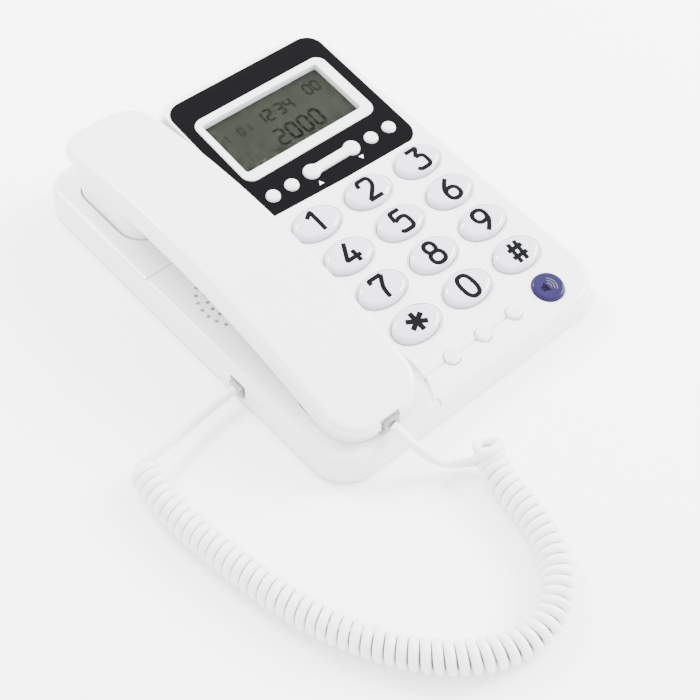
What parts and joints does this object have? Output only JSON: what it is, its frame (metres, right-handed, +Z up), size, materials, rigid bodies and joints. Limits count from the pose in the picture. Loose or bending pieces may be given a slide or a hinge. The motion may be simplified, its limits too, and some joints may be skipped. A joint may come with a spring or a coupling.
{
  "type": "corded telephone",
  "caption": "White corded desk telephone with large oval keys, a tilted LCD panel, a cradled handset and a coiled cord.",
  "frame": {"origin": "bottom centre of the base with its handset, without the cord", "axes": "+Z up, +X right seen from the front, +Y to the back"},
  "size_m": [0.2249, 0.3311, 0.0508],
  "materials": {
    "white_abs": "gloss",
    "black_panel": "gloss",
    "silver_frame": "satin",
    "lcd_grey": "satin",
    "clear_window": "gloss",
    "pearl_button": "gloss",
    "clear_key": "gloss",
    "purple_button": "gloss",
    "clear_plug": "gloss",
    "white_pvc": "satin",
    "board_green": "satin",
    "rubber_grey": "matte",
    "steel": "satin",
    "dark_plastic": "satin",
    "battery_sleeve": "gloss"
  },
  "bodies": {
    "base": {"base_bottom_shell": "white_abs", "base_cord_plug": "clear_plug", "base_microphone": "dark_plastic", "base_screws": "steel", "base_top_shell": "white_abs", "battery_cells": "battery_sleeve", "battery_contacts": "steel", "battery_door": "white_abs", "battery_door_screw": "steel", "cord_coil": "white_pvc", "cord_lead_base": "white_pvc", "cord_lead_handset": "white_pvc", "display_board": "board_green", "display_frame": "silver_frame", "display_panel": "black_panel", "display_window": "clear_window", "handset_socket": "dark_plastic", "hook_switch": "dark_plastic", "keypad_board": "board_green", "keypad_membrane": "rubber_grey", "lcd_holder": "white_abs", "lcd_module": "lcd_grey", "line_socket": "dark_plastic", "main_board": "board_green", "ringer_speaker": "dark_plastic", "ringer_switch_body": "dark_plastic", "rubber_feet": "rubber_grey", "speaker_retainer": "white_abs"},
    "handset": {"handset_outer_shell": "white_abs", "handset_inner_shell": "white_abs", "handset_screws": "steel", "earpiece_receiver": "dark_plastic", "microphone_capsule": "dark_plastic", "handset_weight": "steel", "handset_jack": "dark_plastic", "handset_cord_plug": "clear_plug"},
    "key_0": {"key_0": "clear_key"},
    "key_1": {"key_1": "clear_key"},
    "key_2": {"key_2": "clear_key"},
    "key_3": {"key_3": "clear_key"},
    "key_4": {"key_4": "clear_key"},
    "key_5": {"key_5": "clear_key"},
    "key_6": {"key_6": "clear_key"},
    "key_7": {"key_7": "clear_key"},
    "key_8": {"key_8": "clear_key"},
    "key_9": {"key_9": "clear_key"},
    "key_hash": {"key_hash": "clear_key"},
    "key_star": {"key_star": "clear_key"},
    "function_button_1": {"function_button_1": "pearl_button"},
    "function_button_2": {"function_button_2": "pearl_button"},
    "function_button_3": {"function_button_3": "pearl_button"},
    "panel_button_1": {"panel_button_1": "pearl_button"},
    "panel_button_2": {"panel_button_2": "pearl_button"},
    "panel_button_3": {"panel_button_3": "pearl_button"},
    "panel_button_4": {"panel_button_4": "pearl_button"},
    "speaker_button": {"speaker_button": "purple_button"},
    "volume_rocker": {"volume_rocker": "pearl_button"},
    "hook_plunger": {"hook_plunger": "white_abs"},
    "ringer_knob": {"ringer_knob": "dark_plastic"}
  },
  "joints": [
    {"name": "handset_lift", "type": "slide", "parent": "base", "child": "handset", "axis": [0, 0, 1], "range_m": [0, 0.06]},
    {"name": "key_0_press", "type": "slide", "parent": "base", "child": "key_0", "axis": [0, 0.165, -0.9863], "range_m": [0, 0.0018], "stiffness_N_per_m": 300, "springref_m": -0.0005},
    {"name": "key_1_press", "type": "slide", "parent": "base", "child": "key_1", "axis": [0, 0.165, -0.9863], "range_m": [0, 0.0018], "stiffness_N_per_m": 300, "springref_m": -0.0005},
    {"name": "key_2_press", "type": "slide", "parent": "base", "child": "key_2", "axis": [0, 0.165, -0.9863], "range_m": [0, 0.0018], "stiffness_N_per_m": 300, "springref_m": -0.0005},
    {"name": "key_3_press", "type": "slide", "parent": "base", "child": "key_3", "axis": [0, 0.165, -0.9863], "range_m": [0, 0.0018], "stiffness_N_per_m": 300, "springref_m": -0.0005},
    {"name": "key_4_press", "type": "slide", "parent": "base", "child": "key_4", "axis": [0, 0.165, -0.9863], "range_m": [0, 0.0018], "stiffness_N_per_m": 300, "springref_m": -0.0005},
    {"name": "key_5_press", "type": "slide", "parent": "base", "child": "key_5", "axis": [0, 0.165, -0.9863], "range_m": [0, 0.0018], "stiffness_N_per_m": 300, "springref_m": -0.0005},
    {"name": "key_6_press", "type": "slide", "parent": "base", "child": "key_6", "axis": [0, 0.165, -0.9863], "range_m": [0, 0.0018], "stiffness_N_per_m": 300, "springref_m": -0.0005},
    {"name": "key_7_press", "type": "slide", "parent": "base", "child": "key_7", "axis": [0, 0.165, -0.9863], "range_m": [0, 0.0018], "stiffness_N_per_m": 300, "springref_m": -0.0005},
    {"name": "key_8_press", "type": "slide", "parent": "base", "child": "key_8", "axis": [0, 0.165, -0.9863], "range_m": [0, 0.0018], "stiffness_N_per_m": 300, "springref_m": -0.0005},
    {"name": "key_9_press", "type": "slide", "parent": "base", "child": "key_9", "axis": [0, 0.165, -0.9863], "range_m": [0, 0.0018], "stiffness_N_per_m": 300, "springref_m": -0.0005},
    {"name": "key_hash_press", "type": "slide", "parent": "base", "child": "key_hash", "axis": [0, 0.165, -0.9863], "range_m": [0, 0.0018], "stiffness_N_per_m": 300, "springref_m": -0.0005},
    {"name": "key_star_press", "type": "slide", "parent": "base", "child": "key_star", "axis": [0, 0.165, -0.9863], "range_m": [0, 0.0018], "stiffness_N_per_m": 300, "springref_m": -0.0005},
    {"name": "function_button_1_press", "type": "slide", "parent": "base", "child": "function_button_1", "axis": [0, 0.165, -0.9863], "range_m": [0, 0.0012], "stiffness_N_per_m": 300, "springref_m": -0.0005},
    {"name": "function_button_2_press", "type": "slide", "parent": "base", "child": "function_button_2", "axis": [0, 0.165, -0.9863], "range_m": [0, 0.0012], "stiffness_N_per_m": 300, "springref_m": -0.0005},
    {"name": "function_button_3_press", "type": "slide", "parent": "base", "child": "function_button_3", "axis": [0, 0.165, -0.9863], "range_m": [0, 0.0012], "stiffness_N_per_m": 300, "springref_m": -0.0005},
    {"name": "panel_button_1_press", "type": "slide", "parent": "base", "child": "panel_button_1", "axis": [0, 0.165, -0.9863], "range_m": [0, 0.0012], "stiffness_N_per_m": 300, "springref_m": -0.0005},
    {"name": "panel_button_2_press", "type": "slide", "parent": "base", "child": "panel_button_2", "axis": [0, 0.165, -0.9863], "range_m": [0, 0.0012], "stiffness_N_per_m": 300, "springref_m": -0.0005},
    {"name": "panel_button_3_press", "type": "slide", "parent": "base", "child": "panel_button_3", "axis": [0, 0.165, -0.9863], "range_m": [0, 0.0012], "stiffness_N_per_m": 300, "springref_m": -0.0005},
    {"name": "panel_button_4_press", "type": "slide", "parent": "base", "child": "panel_button_4", "axis": [0, 0.165, -0.9863], "range_m": [0, 0.0012], "stiffness_N_per_m": 300, "springref_m": -0.0005},
    {"name": "speaker_button_press", "type": "slide", "parent": "base", "child": "speaker_button", "axis": [0, 0.165, -0.9863], "range_m": [0, 0.0012], "stiffness_N_per_m": 300, "springref_m": -0.0005},
    {"name": "volume_rocker_tilt", "type": "hinge", "parent": "base", "child": "volume_rocker", "pos_m": [0.0224, 0.01153, 0.03243], "axis": [0, 0.9863, 0.165], "range_deg": [-3, 3], "stiffness_Nm_per_rad": 0.05},
    {"name": "hook_plunger_rise", "type": "slide", "parent": "base", "child": "hook_plunger", "axis": [0, 0, 1], "range_m": [0, 0.004]},
    {"name": "ringer_knob_slide", "type": "slide", "parent": "base", "child": "ringer_knob", "axis": [1, 0, 0], "range_m": [0, 0.004]}
  ],
  "couplings": [
    {"joint": "hook_plunger_rise", "follows": "handset_lift", "ratio": 0.066667}
  ]
}
